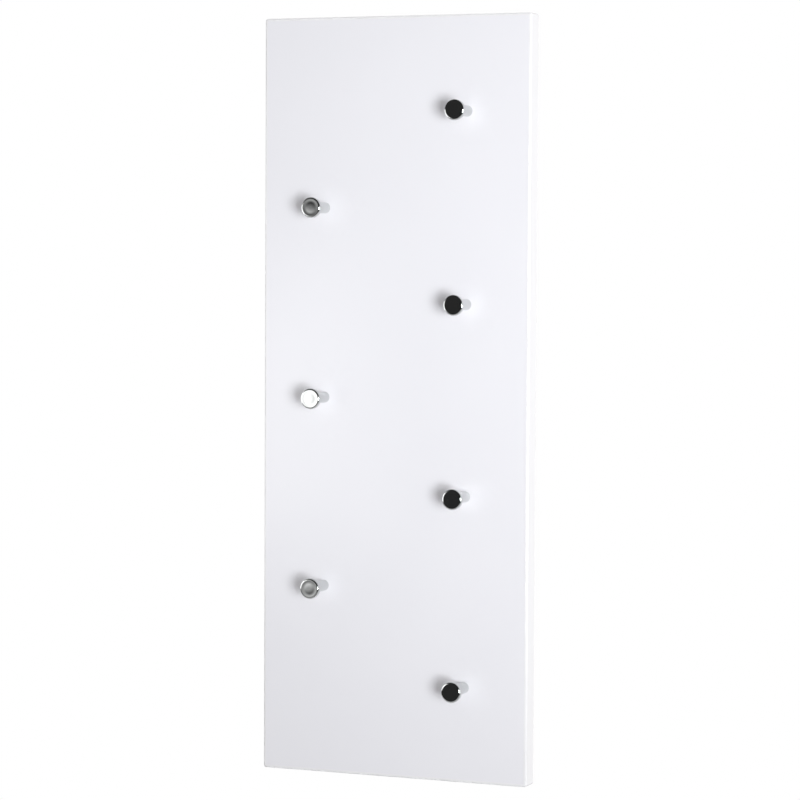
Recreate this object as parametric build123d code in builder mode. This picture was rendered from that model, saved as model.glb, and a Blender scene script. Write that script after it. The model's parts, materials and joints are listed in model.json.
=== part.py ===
"""Wall coat panel: a white high-gloss board with seven chrome pegs in a zigzag.

Frame: millimetres, +Z up, the front faces -Y, and the back lies on the wall plane Y = 0.
The origin is on the wall plane, midway between the two keyholes that the wall screws enter.
"""
import os

from build123d import *

os.makedirs("parts", exist_ok=True)

# ---- board -------------------------------------------------------------------------------
PANEL_W = 300.0
PANEL_H = 800.0
PANEL_T = 22.0
FRONT_SHEET_T = 1.0
BACK_SHEET_T = 0.5
BAND_T = 3.0
CORNER_R = 2.5  # corners of the outline, seen from the front
FRONT_ARRIS_R = 2.25
BACK_ARRIS_R = 0.5

# ---- pegs --------------------------------------------------------------------------------
ROW_PITCH = 100.0
ROWS = 7
COLUMN_X = 80.0
PEG_LENGTH = 38.0  # out of the board's front face
STEM_R = 6.0
HEAD_R = 10.75
HEAD_T = 5.0
HEAD_RIM_R = 1.6  # rounding of the head's front edge
HEAD_BACK_R = 0.5
NECK_R = 0.8  # fillet between stem and head
FACE_FLAT_R = 1.0  # flat middle of the head's face
# The polished face: a faint dome, then a faint inward lean up to a lip. Each (radius, slope) ends an arc.
FACE_PROFILE = [(5.0, 0.010), (7.9, -0.012), (HEAD_R - HEAD_RIM_R, 0.0)]
FOOT_CHAMFER = 0.4

# ---- screws that hold the pegs, M4 x 25 ----------------------------------------------------
M4_R = 2.0
M4_LENGTH = 25.0
M4_CLEARANCE_R = 2.25
M4_HEAD_R = 4.0
M4_HEAD_H = 3.1
M4_HEAD_ROUND = 1.4
M4_TIP_CHAMFER = 0.5
M4_CROSS = 4.4
M4_CROSS_DEPTH = 1.8
WASHER_R = 6.0
WASHER_HOLE_R = 2.15
WASHER_T = 1.0
COUNTERBORE_R = 7.0
COUNTERBORE_DEPTH = 8.0  # below the board's back
PEG_THREAD_DEPTH = 13.0
THREAD_GAP = 0.05

# ---- keyhole plates ------------------------------------------------------------------------
HANGER_SPACING = 200.0
HANGER_BELOW_TOP = 55.0  # from the board's top edge to the entry holes
PLATE_W = 18.0
PLATE_H = 50.0
PLATE_T = 1.5
ENTRY_R = 5.0
SLOT_R = 2.5
DROP = 10.0  # from the entry hole up to the slot's end
POCKET_R = 6.5
POCKET_DEPTH = 10.0  # below the board's back
PLATE_GAP = 0.2

# ---- wood screws of the plates, 3.5 x 14 countersunk ------------------------------------------
WOOD_SCREW_R = 1.75
WOOD_SCREW_L = 14.0
WOOD_HEAD_R = 3.2
WOOD_SCREW_OFFSET = 19.5  # from the plate's middle, up and down
WOOD_TIP_L = 3.0
WOOD_CROSS = 3.6
WOOD_CROSS_DEPTH = 1.3
WOOD_SINK = 0.1  # how far the heads sit below the plate's face

# ---- cross recess in every screw head: arm width over arm length, and the draft of its walls ----
CROSS_RATIO = 0.21
CROSS_DRAFT = 12.0

# ---- worked out -------------------------------------------------------------------------------
TOP_Z = HANGER_BELOW_TOP
MID_Z = TOP_Z - PANEL_H / 2
FRONT_Y = -PANEL_T
CORE_W = PANEL_W - 2 * BAND_T
CORE_H = PANEL_H - 2 * BAND_T
CORE_T = PANEL_T - FRONT_SHEET_T - BACK_SHEET_T
CORE_BACK_Y = -BACK_SHEET_T
PLATE_MID_Z = DROP / 2
SEAT_Y = -COUNTERBORE_DEPTH  # where the washers lie

# pegs from the top down: odd rows stand on the right, even rows on the left
PEGS = [
    (COLUMN_X if row % 2 == 0 else -COLUMN_X, MID_Z + ((ROWS - 1) / 2 - row) * ROW_PITCH)
    for row in range(ROWS)
]
HANGERS = {"left": -HANGER_SPACING / 2, "right": HANGER_SPACING / 2}


def wall_plane(y, x=0.0, z=0.0):
    """A plane parallel to the wall at depth y: local x is -X, local y is Z, its normal is +Y."""
    return Plane(origin=(x, y, z), x_dir=(-1, 0, 0), z_dir=(0, 1, 0))


def side_plane(x, z):
    """A horizontal plane through a peg's axis: local x is X, local y is Y."""
    return Plane(origin=(x, 0, z), x_dir=(1, 0, 0), z_dir=(0, 0, 1))


def save(piece, name):
    """Labels a finished piece and writes it as its own node."""
    piece.part.label = name
    export_step(piece.part, f"parts/{name}.step")


def on_wall(points):
    """Row-frame (x, z) points as local points of a wall plane through the board's middle."""
    return [(-x, z - MID_Z) for x, z in points]


def cross(plane, arm):
    """The outline of a screw head's cross recess."""
    with BuildSketch(plane) as outline:
        Rectangle(arm, CROSS_RATIO * arm, rotation=45)
        Rectangle(arm, CROSS_RATIO * arm, rotation=-45)
    return outline.sketch


# ================================ the board ========================================================
with BuildPart() as board_core:
    with BuildSketch(wall_plane(CORE_BACK_Y, z=MID_Z)):
        Rectangle(CORE_W, CORE_H)
    extrude(amount=-CORE_T)
    # counterbored holes for the peg screws, from behind
    with Locations(*[wall_plane(CORE_BACK_Y, x, z).location for x, z in PEGS]):
        CounterBoreHole(M4_CLEARANCE_R, COUNTERBORE_R, COUNTERBORE_DEPTH - BACK_SHEET_T)
    # recess of each keyhole plate, and the pocket below it that takes the screw head
    for x in HANGERS.values():
        with BuildSketch(wall_plane(CORE_BACK_Y, x, PLATE_MID_Z)):
            SlotOverall(PLATE_H + 2 * PLATE_GAP, PLATE_W + 2 * PLATE_GAP, rotation=90)
        extrude(amount=-(PLATE_T - BACK_SHEET_T), mode=Mode.SUBTRACT)
        with BuildSketch(wall_plane(-PLATE_T, x, PLATE_MID_Z)):
            SlotCenterToCenter(DROP, 2 * POCKET_R, rotation=90)
        extrude(amount=-(POCKET_DEPTH - PLATE_T), mode=Mode.SUBTRACT)
        # the holes that the plate's wood screws have cut
        with BuildSketch(wall_plane(-PLATE_T, x, PLATE_MID_Z)):
            with Locations((0, WOOD_SCREW_OFFSET), (0, -WOOD_SCREW_OFFSET)):
                Circle(WOOD_SCREW_R + THREAD_GAP)
        extrude(amount=-(WOOD_SCREW_L + 0.5 - PLATE_T), mode=Mode.SUBTRACT)
save(board_core, "board_core")

with BuildPart() as front_sheet:
    with BuildSketch(wall_plane(FRONT_Y + FRONT_SHEET_T, z=MID_Z)):
        Rectangle(CORE_W, CORE_H)
        with Locations(*on_wall(PEGS)):
            Circle(M4_CLEARANCE_R, mode=Mode.SUBTRACT)
    extrude(amount=-FRONT_SHEET_T)
save(front_sheet, "front_gloss_sheet")

with BuildPart() as back_sheet:
    with BuildSketch(wall_plane(0, z=MID_Z)):
        Rectangle(CORE_W, CORE_H)
        with Locations(*on_wall(PEGS)):
            Circle(COUNTERBORE_R, mode=Mode.SUBTRACT)
        with Locations(*on_wall((x, PLATE_MID_Z) for x in HANGERS.values())):
            SlotOverall(
                PLATE_H + 2 * PLATE_GAP, PLATE_W + 2 * PLATE_GAP, rotation=90, mode=Mode.SUBTRACT
            )
    extrude(amount=-BACK_SHEET_T)
save(back_sheet, "back_sheet")

# The edge bands go round the board: the two long ones run the full height, the short ones
# stand between them. Each is the part of one rounded block that lies in the band's own strip.
SIDE_X = (PANEL_W - BAND_T) / 2
END_Z = (PANEL_H - BAND_T) / 2
BANDS = {
    "edge_band_left": (-SIDE_X, 0.0, BAND_T, PANEL_H),
    "edge_band_right": (SIDE_X, 0.0, BAND_T, PANEL_H),
    "edge_band_top": (0.0, END_Z, CORE_W, BAND_T),
    "edge_band_bottom": (0.0, -END_Z, CORE_W, BAND_T),
}
for name, (x, z, width, height) in BANDS.items():
    with BuildPart() as band:
        with BuildSketch(wall_plane(0, z=MID_Z)):
            RectangleRounded(PANEL_W, PANEL_H, CORNER_R)
        extrude(amount=-PANEL_T)
        fillet(band.faces().sort_by(Axis.Y)[0].edges(), FRONT_ARRIS_R)
        fillet(band.faces().sort_by(Axis.Y)[-1].edges(), BACK_ARRIS_R)
        with BuildSketch(wall_plane(1, x, MID_Z + z)):
            Rectangle(width, height)
        extrude(amount=-(PANEL_T + 2), mode=Mode.INTERSECT)
    save(band, name)

# ================================ pegs and their screws ================================================
FACE_Y = FRONT_Y - PEG_LENGTH
HEAD_BACK_Y = FACE_Y + HEAD_T
face_arcs = []  # start, middle and end of each arc of the face's profile
radius, y, slope = FACE_FLAT_R, FACE_Y, 0.0
for next_radius, next_slope in FACE_PROFILE:
    width = next_radius - radius
    middle = (radius + width / 2, y + width * (slope / 2 + (next_slope - slope) / 8))
    end = (next_radius, y + width * (slope + next_slope) / 2)
    face_arcs.append(((radius, y), middle, end))
    (radius, y), slope = end, next_slope
RIM_Y = y  # where the face meets the rounded rim

for number, (x, z) in enumerate(PEGS, start=1):
    axis = Axis((x, 0, z), (0, 1, 0))

    with BuildPart() as knob:
        with BuildSketch(side_plane(x, z)):
            with BuildLine():
                Polyline(
                    (0, FACE_Y),
                    (0, FRONT_Y),
                    (STEM_R - FOOT_CHAMFER, FRONT_Y),
                    (STEM_R, FRONT_Y - FOOT_CHAMFER),
                    (STEM_R, HEAD_BACK_Y + NECK_R),
                )
                RadiusArc((STEM_R, HEAD_BACK_Y + NECK_R), (STEM_R + NECK_R, HEAD_BACK_Y), -NECK_R)
                Line((STEM_R + NECK_R, HEAD_BACK_Y), (HEAD_R - HEAD_BACK_R, HEAD_BACK_Y))
                RadiusArc(
                    (HEAD_R - HEAD_BACK_R, HEAD_BACK_Y),
                    (HEAD_R, HEAD_BACK_Y - HEAD_BACK_R),
                    HEAD_BACK_R,
                )
                Line((HEAD_R, HEAD_BACK_Y - HEAD_BACK_R), (HEAD_R, RIM_Y + HEAD_RIM_R))
                RadiusArc((HEAD_R, RIM_Y + HEAD_RIM_R), (HEAD_R - HEAD_RIM_R, RIM_Y), HEAD_RIM_R)
                for start, middle, end in face_arcs:
                    ThreePointArc(start, middle, end)
                Line((FACE_FLAT_R, FACE_Y), (0, FACE_Y))
            make_face()
        revolve(axis=axis)
        # blind thread for the screw
        with Locations(wall_plane(FRONT_Y, x, z).location):
            Hole(M4_R + THREAD_GAP, depth=PEG_THREAD_DEPTH)
    save(knob, f"knob_{number}")

    with BuildPart() as washer:
        with BuildSketch(wall_plane(SEAT_Y, x, z)):
            Circle(WASHER_R)
            Circle(WASHER_HOLE_R, mode=Mode.SUBTRACT)
        extrude(amount=WASHER_T)
    save(washer, f"knob_washer_{number}")

    head_y = SEAT_Y + WASHER_T
    with BuildPart() as screw:
        with BuildSketch(wall_plane(head_y, x, z)):
            Circle(M4_HEAD_R)
        extrude(amount=M4_HEAD_H)
        fillet(screw.edges().sort_by(Axis.Y)[-1], M4_HEAD_ROUND)
        with BuildSketch(wall_plane(head_y, x, z)):
            Circle(M4_R)
        extrude(amount=-M4_LENGTH)
        chamfer(screw.edges().sort_by(Axis.Y)[0], M4_TIP_CHAMFER)
        extrude(
            cross(wall_plane(head_y + M4_HEAD_H, x, z), M4_CROSS),
            amount=-M4_CROSS_DEPTH,
            taper=CROSS_DRAFT,
            mode=Mode.SUBTRACT,
        )
    save(screw, f"knob_screw_{number}")

# ================================ keyhole plates and their screws ======================================
for side, x in HANGERS.items():
    with BuildPart() as plate:
        with BuildSketch(wall_plane(0, x, PLATE_MID_Z)):
            SlotOverall(PLATE_H, PLATE_W, rotation=90)
            with Locations((0, -DROP / 2)):
                Circle(ENTRY_R, mode=Mode.SUBTRACT)
            SlotCenterToCenter(DROP, 2 * SLOT_R, rotation=90, mode=Mode.SUBTRACT)
        extrude(amount=-PLATE_T)
        with Locations(
            wall_plane(0, x, PLATE_MID_Z + WOOD_SCREW_OFFSET).location,
            wall_plane(0, x, PLATE_MID_Z - WOOD_SCREW_OFFSET).location,
        ):
            CounterSinkHole(WOOD_SCREW_R + THREAD_GAP, WOOD_HEAD_R, counter_sink_angle=90)
    save(plate, f"keyhole_plate_{side}")

    cone_r = WOOD_HEAD_R - THREAD_GAP  # a 45 degree cone just inside the plate's countersink
    for place, offset in (("upper", WOOD_SCREW_OFFSET), ("lower", -WOOD_SCREW_OFFSET)):
        z = PLATE_MID_Z + offset
        with BuildPart() as wood_screw:
            with BuildSketch(side_plane(x, z)):
                with BuildLine():
                    Polyline(
                        (0, -WOOD_SINK),
                        (cone_r - WOOD_SINK, -WOOD_SINK),
                        (WOOD_SCREW_R, WOOD_SCREW_R - cone_r),
                        (WOOD_SCREW_R, WOOD_TIP_L - WOOD_SCREW_L),
                        (0, -WOOD_SCREW_L),
                        close=True,
                    )
                make_face()
            revolve(axis=Axis((x, 0, z), (0, 1, 0)))
            extrude(
                cross(wall_plane(-WOOD_SINK, x, z), WOOD_CROSS),
                amount=-WOOD_CROSS_DEPTH,
                taper=CROSS_DRAFT,
                mode=Mode.SUBTRACT,
            )
        save(wood_screw, f"plate_screw_{side}_{place}")
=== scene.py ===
"""The looks of the wall coat panel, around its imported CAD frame. Metres, +Z up, the front faces -Y."""
import json
import math

import bpy
from mathutils import Matrix, Vector


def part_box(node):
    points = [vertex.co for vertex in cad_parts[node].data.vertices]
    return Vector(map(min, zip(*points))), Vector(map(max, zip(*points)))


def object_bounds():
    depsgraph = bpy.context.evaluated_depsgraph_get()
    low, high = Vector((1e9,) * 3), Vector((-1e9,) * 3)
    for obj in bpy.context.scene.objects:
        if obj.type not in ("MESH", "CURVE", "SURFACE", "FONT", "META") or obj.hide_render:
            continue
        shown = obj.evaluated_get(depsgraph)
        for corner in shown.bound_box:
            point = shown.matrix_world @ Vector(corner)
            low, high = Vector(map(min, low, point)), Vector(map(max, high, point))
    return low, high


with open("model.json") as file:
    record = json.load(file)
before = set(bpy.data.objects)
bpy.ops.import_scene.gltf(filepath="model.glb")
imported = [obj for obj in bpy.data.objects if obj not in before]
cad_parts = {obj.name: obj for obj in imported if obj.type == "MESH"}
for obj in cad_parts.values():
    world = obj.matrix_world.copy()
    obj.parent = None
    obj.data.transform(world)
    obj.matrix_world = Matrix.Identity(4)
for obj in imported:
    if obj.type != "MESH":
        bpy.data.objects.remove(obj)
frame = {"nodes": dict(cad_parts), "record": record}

CAD_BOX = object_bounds()

# The board's front face, which the camera and the lights are placed from.
PANEL_LOW, PANEL_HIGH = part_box("front_gloss_sheet")
FRONT = Vector((
    (PANEL_LOW.x + PANEL_HIGH.x) / 2,
    PANEL_LOW.y,
    (PANEL_LOW.z + PANEL_HIGH.z) / 2,
))

# Camera: from the right and a little above the board's middle, with a long lens.
CAMERA_FROM_FRONT = Vector((1.2095, -2.9309, 0.1690))
CAMERA_YAW = math.radians(22.314)
CAMERA_PITCH = math.radians(-3.070)
CAMERA_ROLL = math.radians(0.290)
SENSOR_MM = 36.0
LENS_MM = 136.23
NEAREST_SEEN = 0.05
FURTHEST_SEEN = 60.0

# Key softbox: right of the camera, just under the middle of the board, with a grid that narrows its beam.
KEY_FROM_FRONT = Vector((2.20, -2.98, -0.12))
KEY_AIM = Vector((0.264, 0.0, 0.15))
KEY_SIZE = 1.10
KEY_SPREAD = math.radians(41.3)
KEY_WATTS = 6.78
KEY_TINT = (0.978, 1.0, 1.022)

# Side light: a tall softbox on the right, a little behind the board, for its side and the pegs' rims.
SIDE_FROM_FRONT = Vector((2.00, 1.50, 0.10))
SIDE_WIDTH = 1.2
SIDE_HEIGHT = 2.0
SIDE_WATTS = 17.0

# Top light: a broad softbox above and a little behind the board, seen by matt surfaces only.
TOP_FROM_FRONT = Vector((0.0, 0.90, 2.10))
TOP_SIZE = 1.4
TOP_WATTS = 12.0

# Cards: glowing panels on the left with soft edges, which only shiny things show.
# Every place is from the middle of the board's front. A fade is where or over what length the glow comes up.
FAR_CARD = {
    "plan": [(-1.17, -2.93), (-1.52, -2.80), (-1.90, -2.60), (-2.25, -2.30)],
    "height": (-0.705, 0.34),
    "strength": 2.2,
    "fade_x": (-1.10, -1.45),
    "fade_z": 0.42,
}
NEAR_CARD = {
    "plan": [(-0.85, -1.35), (-1.05, -0.80), (-1.10, -0.20), (-1.05, 0.30)],
    "height": (-0.40, 0.42),
    "strength": 1.9,
    "fade_x": (-0.80, -0.86),
    "fade_z": 0.10,
}

# Room: how bright the surroundings are to matt surfaces, and to mirrors behind and in front of the board.
# ROOM_TURN is the range of a direction's Y in which in front passes into behind.
ROOM_MATT = 0.452
ROOM_BEHIND = 0.95
ROOM_IN_FRONT = 0.031
ROOM_TURN = (-0.05, 0.25)
ROOM_TINT = (0.97, 0.962, 0.962)

# Floor under the hung board.
BOARD_TOP_HEIGHT = 1.90
FLOOR_RADIUS = 5.4
FLOOR_FADE_FROM = 1.2
FLOOR_RINGS = 24
FLOOR_SPOKES = 96


class Graph:
    """A material's or world's node tree, built with short calls."""

    def __init__(self, tree):
        self.tree = tree
        self.tree.nodes.clear()

    def add(self, kind, inputs=None, **settings):
        """A new node. Inputs go by name or index, and take a number, a colour or another node's output."""
        node = self.tree.nodes.new(kind)
        for name, value in settings.items():
            setattr(node, name, value)
        for socket, value in (inputs or {}).items():
            if isinstance(value, bpy.types.NodeSocket):
                self.tree.links.new(value, node.inputs[socket])
            else:
                node.inputs[socket].default_value = value
        return node

    def noise(self, vector, scale, detail=2.0, roughness=0.5, distortion=0.0):
        node = self.add(
            "ShaderNodeTexNoise",
            {"Vector": vector, "Scale": scale, "Detail": detail, "Roughness": roughness,
             "Distortion": distortion},
        )
        return node.outputs["Fac"]

    def spread(self, value, low, high, source=(0.3, 0.7)):
        """Maps value from the source range to low..high, clamped."""
        node = self.add(
            "ShaderNodeMapRange",
            {"Value": value, "From Min": source[0], "From Max": source[1], "To Min": low, "To Max": high},
        )
        return node.outputs["Result"]

    def blend(self, factor, first, second):
        """A colour between first and second. The indices are the Mix node's colour sockets."""
        node = self.add("ShaderNodeMix", {0: factor, 6: first, 7: second}, data_type="RGBA")
        return node.outputs[2]

    def math(self, operation, first, second=0.0, third=0.0):
        node = self.add("ShaderNodeMath", {0: first, 1: second, 2: third}, operation=operation)
        return node.outputs["Value"]

    def stretched(self, vector, scale):
        node = self.add("ShaderNodeMapping", {"Vector": vector, "Scale": scale})
        return node.outputs["Vector"]

    def bump(self, height, distance, strength=1.0, normal=None):
        inputs = {"Height": height, "Distance": distance, "Strength": strength}
        if normal is not None:
            inputs["Normal"] = normal
        return self.add("ShaderNodeBump", inputs).outputs["Normal"]


def rgba(red, green, blue):
    """An opaque colour."""
    return (red, green, blue, 1.0)


def surface(name, paint):
    """A Principled material from what paint(graph, place) returns. place is a point in object space."""
    material = bpy.data.materials.new(name)
    material.use_nodes = True
    graph = Graph(material.node_tree)
    place = graph.add("ShaderNodeTexCoord").outputs["Object"]
    shader = graph.add("ShaderNodeBsdfPrincipled", paint(graph, place))
    graph.add("ShaderNodeOutputMaterial", {"Surface": shader.outputs["BSDF"]})
    return material


def gloss_laminate(graph, place):
    """High-gloss white foil on fibreboard: even bluish white, faint orange peel and a long lazy waviness."""
    tone = graph.spread(graph.noise(place, 9.0, 3.0), 0.0, 1.0)
    speck = graph.spread(graph.noise(place, 900.0, 2.0), 0.0, 1.0)
    base = graph.blend(tone, rgba(0.870, 0.863, 0.896), rgba(0.882, 0.874, 0.906))
    colour = graph.blend(graph.math("MULTIPLY", speck, 0.10), base, rgba(0.84, 0.835, 0.865))
    wave = graph.bump(graph.noise(place, 14.0, 1.0), 0.00006)
    peel = graph.bump(graph.noise(place, 300.0, 2.0), 0.000004, normal=wave)
    smear = graph.noise(graph.stretched(place, (30.0, 30.0, 9.0)), 1.0, 3.0)
    return {
        "Base Color": colour,
        "Roughness": graph.spread(smear, 0.05, 0.09),
        "IOR": 1.46,
        "Normal": peel,
    }


def gloss_edge(graph, place):
    """Gloss edge band: the same white, with the fine lengthwise lines of an extruded strip."""
    tone = graph.spread(graph.noise(place, 14.0, 3.0), 0.0, 1.0)
    lines = graph.noise(graph.stretched(place, (900.0, 900.0, 6.0)), 1.0, 2.0)
    wave = graph.bump(graph.noise(place, 30.0, 1.0), 0.00003)
    return {
        "Base Color": graph.blend(tone, rgba(0.880, 0.873, 0.884), rgba(0.892, 0.884, 0.896)),
        "Roughness": graph.spread(graph.noise(place, 45.0, 3.0), 0.08, 0.14),
        "IOR": 1.46,
        "Normal": graph.bump(lines, 0.000004, normal=wave),
    }


def backing_sheet(graph, place):
    """Melamine paper on the back: off-white, slightly mottled, with a pressed grain."""
    mottle = graph.spread(graph.noise(place, 60.0, 5.0, 0.6), 0.0, 1.0)
    fibre = graph.noise(graph.stretched(place, (420.0, 420.0, 90.0)), 1.0, 4.0, 0.6)
    grain = graph.noise(place, 1400.0, 3.0, 0.6)
    colour = graph.blend(mottle, rgba(0.70, 0.70, 0.68), rgba(0.78, 0.78, 0.76))
    flecked = graph.blend(graph.spread(fibre, 0.0, 0.35), colour, rgba(0.60, 0.59, 0.56))
    pressed = graph.bump(grain, 0.00003, normal=graph.bump(fibre, 0.00004))
    return {
        "Base Color": flecked,
        "Roughness": graph.spread(mottle, 0.48, 0.62, (0.0, 1.0)),
        "Normal": pressed,
    }


def fibreboard(graph, place):
    """Cut MDF: warm brown, fine matted fibres and a few darker specks."""
    fibre = graph.noise(graph.stretched(place, (700.0, 2600.0, 700.0)), 1.0, 6.0, 0.65, 0.6)
    cloud = graph.spread(graph.noise(place, 55.0, 4.0), 0.0, 1.0)
    base = graph.blend(cloud, rgba(0.40, 0.27, 0.155), rgba(0.50, 0.36, 0.225))
    speck = graph.spread(graph.noise(place, 1500.0, 2.0), 0.0, 0.8, (0.62, 0.78))
    colour = graph.blend(graph.spread(fibre, 0.0, 0.55), base, rgba(0.60, 0.46, 0.31))
    return {
        "Base Color": graph.blend(speck, colour, rgba(0.20, 0.12, 0.06)),
        "Roughness": graph.spread(fibre, 0.78, 0.94),
        "Normal": graph.bump(fibre, 0.00025),
    }


def polished_chrome(graph, place):
    """Bright chrome plate on cast zinc: mirror-like, with a very slight haze, polish marks and ripple."""
    haze = graph.noise(place, 110.0, 3.0, 0.6)
    marks = graph.noise(graph.stretched(place, (500.0, 3200.0, 500.0)), 1.0, 3.0, 0.6, 0.8)
    ripple = graph.bump(graph.noise(place, 95.0, 1.0), 0.000012)
    tone = graph.blend(graph.spread(haze, 0.0, 1.0), rgba(0.605, 0.620, 0.618), rgba(0.652, 0.660, 0.657))
    return {
        "Base Color": tone,
        "Metallic": 1.0,
        "Roughness": graph.math("MULTIPLY_ADD", marks, 0.030, 0.022),
        "Normal": graph.bump(marks, 0.0000006, normal=ripple),
    }


def zinc_plated(bright, dull, rough, scale, yellow=0.0):
    """Zinc plate with its matt crystalline bloom. Yellow passivate adds a faint rainbow."""

    def paint(graph, place):
        bloom = graph.noise(place, scale, 5.0, 0.65)
        streak = graph.noise(graph.stretched(place, (2.0 * scale, 0.4 * scale, 2.0 * scale)), 1.0, 3.0)
        tone = graph.blend(graph.spread(bloom, 0.0, 1.0), rgba(*dull), rgba(*bright))
        if yellow:
            tint = graph.spread(graph.noise(place, 0.6 * scale, 3.0, 0.6, 1.5), 0.0, yellow)
            tone = graph.blend(tint, tone, rgba(0.52, 0.42, 0.52))
        return {
            "Base Color": tone,
            "Metallic": 1.0,
            "Roughness": graph.spread(streak, rough[0], rough[1]),
            "Normal": graph.bump(bloom, 0.00002),
        }

    return paint


def galvanised(graph, place):
    """Galvanised steel sheet: fine spangle with a different sheen in each crystal."""
    crystals = graph.add("ShaderNodeTexVoronoi", {"Vector": place, "Scale": 420.0, "Randomness": 1.0})
    shade = graph.add("ShaderNodeSeparateColor", {"Color": crystals.outputs["Color"]}).outputs["Red"]
    rolled = graph.noise(graph.stretched(place, (1800.0, 1800.0, 70.0)), 1.0, 3.0, 0.6)
    tone = graph.blend(shade, rgba(0.27, 0.285, 0.30), rgba(0.44, 0.455, 0.47))
    dulled = graph.blend(graph.spread(graph.noise(place, 80.0, 4.0), 0.0, 0.4), tone, rgba(0.26, 0.27, 0.28))
    return {
        "Base Color": dulled,
        "Metallic": 1.0,
        "Roughness": graph.spread(shade, 0.48, 0.66, (0.0, 1.0)),
        "Normal": graph.bump(rolled, 0.00001),
    }


def repaint(materials, slots):
    """Gives every CAD node the material of its slot in the record."""
    for name, node in frame["nodes"].items():
        node.data.materials.clear()
        node.data.materials.append(materials[slots[name]])


def build_disc(name, rings, spokes, radius, height):
    """A flat disc of rings and spokes at a height."""
    vertices = [(0.0, 0.0, height)]
    faces = []
    for ring in range(1, rings + 1):
        for spoke in range(spokes):
            angle = 2 * math.pi * spoke / spokes
            reach = radius * ring / rings
            vertices.append((reach * math.cos(angle), reach * math.sin(angle), height))
    for spoke in range(spokes):
        following = (spoke + 1) % spokes
        faces.append((0, 1 + spoke, 1 + following))
        for ring in range(rings - 1):
            inner = 1 + ring * spokes
            outer = inner + spokes
            faces.append((inner + spoke, outer + spoke, outer + following, inner + following))
    mesh = bpy.data.meshes.new(name)
    mesh.from_pydata(vertices, [], faces)
    mesh.update()
    disc = bpy.data.objects.new(name, mesh)
    bpy.context.scene.collection.objects.link(disc)
    return disc


def floor_material():
    """Pale studio floor, which fades out into the white surroundings."""
    material = bpy.data.materials.new("studio_floor")
    material.use_nodes = True
    graph = Graph(material.node_tree)
    place = graph.add("ShaderNodeTexCoord").outputs["Object"]
    flat = graph.stretched(place, (1.0, 1.0, 0.0))
    reach = graph.add("ShaderNodeVectorMath", {0: flat}, operation="LENGTH").outputs["Value"]
    grain = graph.noise(place, 180.0, 4.0, 0.6)
    cloud = graph.spread(graph.noise(place, 1.3, 3.0), 0.0, 1.0)
    shader = graph.add("ShaderNodeBsdfPrincipled", {
        "Base Color": graph.blend(cloud, rgba(0.86, 0.86, 0.86), rgba(0.90, 0.90, 0.90)),
        "Roughness": graph.spread(grain, 0.55, 0.70),
        "Normal": graph.bump(grain, 0.0003),
    })
    clear = graph.add("ShaderNodeBsdfTransparent")
    fade = graph.add(
        "ShaderNodeMapRange",
        {"Value": reach, "From Min": FLOOR_FADE_FROM, "From Max": FLOOR_RADIUS},
        interpolation_type="SMOOTHERSTEP",
    ).outputs["Result"]
    mixed = graph.add("ShaderNodeMixShader", {0: fade, 1: shader.outputs["BSDF"], 2: clear.outputs["BSDF"]})
    graph.add("ShaderNodeOutputMaterial", {"Surface": mixed.outputs["Shader"]})
    return material


def build_floor():
    """The floor under the hung board, which is staging and not part of the object."""
    height = CAD_BOX[1].z - BOARD_TOP_HEIGHT
    floor = build_disc("studio_floor", FLOOR_RINGS, FLOOR_SPOKES, FLOOR_RADIUS, height)
    floor.data.materials.append(floor_material())


def card_material(name, card):
    """Light that fades softly to nothing at the card's right, top and bottom edges."""
    material = bpy.data.materials.new(name + "_light")
    material.use_nodes = True
    graph = Graph(material.node_tree)
    place = graph.add("ShaderNodeTexCoord").outputs["Object"]
    axes = graph.add("ShaderNodeSeparateXYZ", {"Vector": place})

    def ramp(axis, start, end):
        node = graph.add(
            "ShaderNodeMapRange",
            {"Value": axes.outputs[axis], "From Min": start, "From Max": end},
            interpolation_type="SMOOTHSTEP",
        )
        return node.outputs["Result"]

    low, high = card["height"]
    side = ramp("X", *card["fade_x"])
    bottom = ramp("Z", low, low + card["fade_z"])
    top = ramp("Z", high, high - card["fade_z"])
    shape = graph.math("MULTIPLY", side, graph.math("MULTIPLY", bottom, top))
    light = graph.add("ShaderNodeEmission", {"Strength": graph.math("MULTIPLY", shape, card["strength"])})
    graph.add("ShaderNodeOutputMaterial", {"Surface": light.outputs["Emission"]})
    return material


def build_card(name, card):
    """An upright bent card that follows its plan, seen by polished things only."""
    vertices = []
    for x, y in card["plan"]:
        vertices += [(x, y, card["height"][0]), (x, y, card["height"][1])]
    faces = [(i, i + 1, i + 3, i + 2) for i in range(0, len(vertices) - 2, 2)]
    mesh = bpy.data.meshes.new(name)
    mesh.from_pydata(vertices, [], faces)
    mesh.update()
    mesh.materials.append(card_material(name, card))
    piece = bpy.data.objects.new(name, mesh)
    piece.location = FRONT
    piece.visible_camera = False
    piece.visible_diffuse = False
    piece.visible_shadow = False
    bpy.context.scene.collection.objects.link(piece)


def area_light(name, offset, size, watts, height=None, aim=Vector()):
    """A softbox unseen by the camera. Its offset and aim are from the middle of the board's front."""
    data = bpy.data.lights.new(name, "AREA")
    data.energy = watts
    data.size = size
    if height is not None:
        data.shape = "RECTANGLE"
        data.size_y = height
    light = bpy.data.objects.new(name, data)
    light.location = FRONT + offset
    light.rotation_euler = (aim - offset).to_track_quat("-Z", "Y").to_euler()
    light.visible_camera = False
    bpy.context.scene.collection.objects.link(light)
    return light


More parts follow.
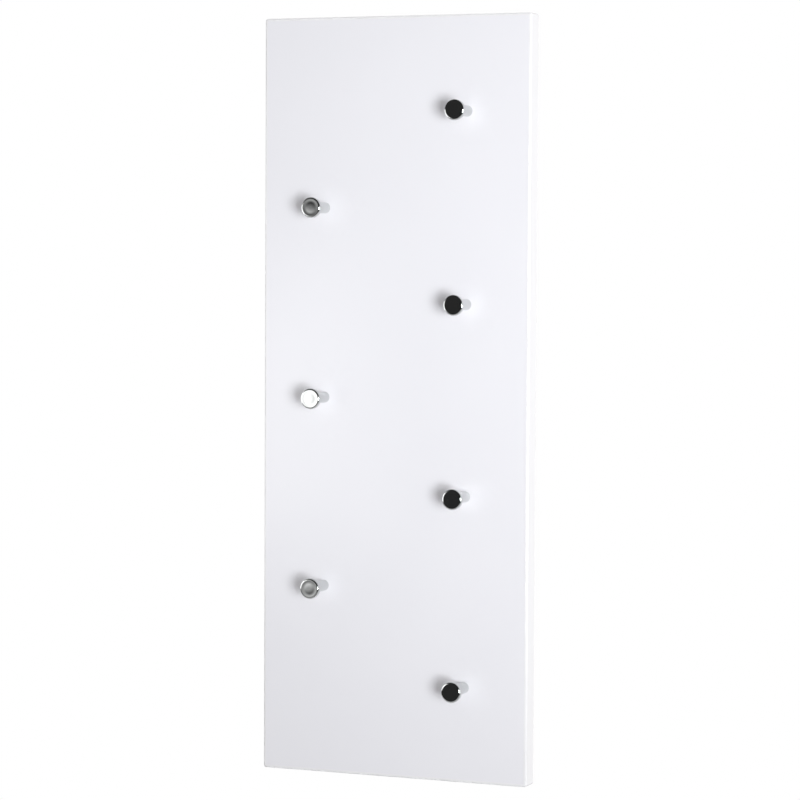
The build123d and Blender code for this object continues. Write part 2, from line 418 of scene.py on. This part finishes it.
def build_world():
    """White to the camera and even to matt surfaces. Mirrors see white behind the board, dark in front."""
    world = bpy.data.worlds.new("studio_room")
    bpy.context.scene.world = world
    world.use_nodes = True
    graph = Graph(world.node_tree)
    path = graph.add("ShaderNodeLightPath")
    direction = graph.add("ShaderNodeTexCoord").outputs["Generated"]
    depth = graph.add("ShaderNodeSeparateXYZ", {"Vector": direction}).outputs["Y"]
    mirrored = graph.spread(depth, ROOM_IN_FRONT, ROOM_BEHIND, ROOM_TURN)
    seen = graph.math("MULTIPLY", path.outputs["Is Glossy Ray"], mirrored)
    matt = graph.math("MULTIPLY", graph.math("SUBTRACT", 1.0, path.outputs["Is Glossy Ray"]), ROOM_MATT)
    strength = graph.math("ADD", seen, matt)
    lit = graph.add("ShaderNodeBackground", {"Color": rgba(*ROOM_TINT), "Strength": strength})
    white = graph.add("ShaderNodeBackground", {"Color": rgba(1.0, 1.0, 1.0), "Strength": 1.0})
    mixed = graph.add(
        "ShaderNodeMixShader",
        {0: path.outputs["Is Camera Ray"], 1: lit.outputs["Background"], 2: white.outputs["Background"]},
    )
    graph.add("ShaderNodeOutputWorld", {"Surface": mixed.outputs["Shader"]})


def build_camera():
    """The camera, from its place and its yaw, pitch and roll."""
    forward = Vector((
        -math.sin(CAMERA_YAW) * math.cos(CAMERA_PITCH),
        math.cos(CAMERA_YAW) * math.cos(CAMERA_PITCH),
        math.sin(CAMERA_PITCH),
    ))
    level = Vector((math.cos(CAMERA_YAW), math.sin(CAMERA_YAW), 0.0))
    upright = level.cross(forward)
    right = level * math.cos(CAMERA_ROLL) + upright * math.sin(CAMERA_ROLL)
    up = upright * math.cos(CAMERA_ROLL) - level * math.sin(CAMERA_ROLL)
    data = bpy.data.cameras.new("camera")
    data.sensor_width = SENSOR_MM
    data.lens = LENS_MM
    data.clip_start = NEAREST_SEEN
    data.clip_end = FURTHEST_SEEN
    camera = bpy.data.objects.new("camera", data)
    turn = Matrix((right, up, -forward)).transposed()
    camera.matrix_world = Matrix.Translation(FRONT + CAMERA_FROM_FRONT) @ turn.to_4x4()
    bpy.context.scene.collection.objects.link(camera)
    bpy.context.scene.camera = camera


# The paint of each material slot in the record.
PAINTS = {
    "white_gloss": gloss_laminate,
    "white_gloss_edge": gloss_edge,
    "white_backing": backing_sheet,
    "mdf": fibreboard,
    "chrome": polished_chrome,
    "zinc_screw": zinc_plated((0.66, 0.68, 0.71), (0.50, 0.52, 0.56), (0.24, 0.40), 700.0),
    "zinc_washer": zinc_plated((0.70, 0.71, 0.73), (0.55, 0.56, 0.59), (0.30, 0.46), 500.0),
    "zinc_plate": galvanised,
    "wood_screw": zinc_plated((0.72, 0.60, 0.33), (0.58, 0.46, 0.22), (0.26, 0.42), 600.0, 0.35),
}

slots_of_nodes = {part["node"]: part["material_slot"] for part in frame["record"]["subparts"]}
repaint({slot: surface(slot, paint) for slot, paint in PAINTS.items()}, slots_of_nodes)

build_floor()
build_card("far_card", FAR_CARD)
build_card("near_card", NEAR_CARD)
build_world()
build_camera()
key = area_light("key_softbox", KEY_FROM_FRONT, KEY_SIZE, KEY_WATTS, aim=KEY_AIM)
key.data.spread = KEY_SPREAD
key.data.color = KEY_TINT
top = area_light("top_softbox", TOP_FROM_FRONT, TOP_SIZE, TOP_WATTS)
top.visible_glossy = False
area_light("side_softbox", SIDE_FROM_FRONT, SIDE_WIDTH, SIDE_WATTS, SIDE_HEIGHT)

# Plain colour, so that white stays white.
bpy.context.scene.view_settings.view_transform = "Standard"
# The chrome pegs throw soft bright patches onto the board, so reflected light isn't blurred or cut off.
bpy.context.scene.cycles.blur_glossy = 0.0
bpy.context.scene.cycles.sample_clamp_indirect = 0.0
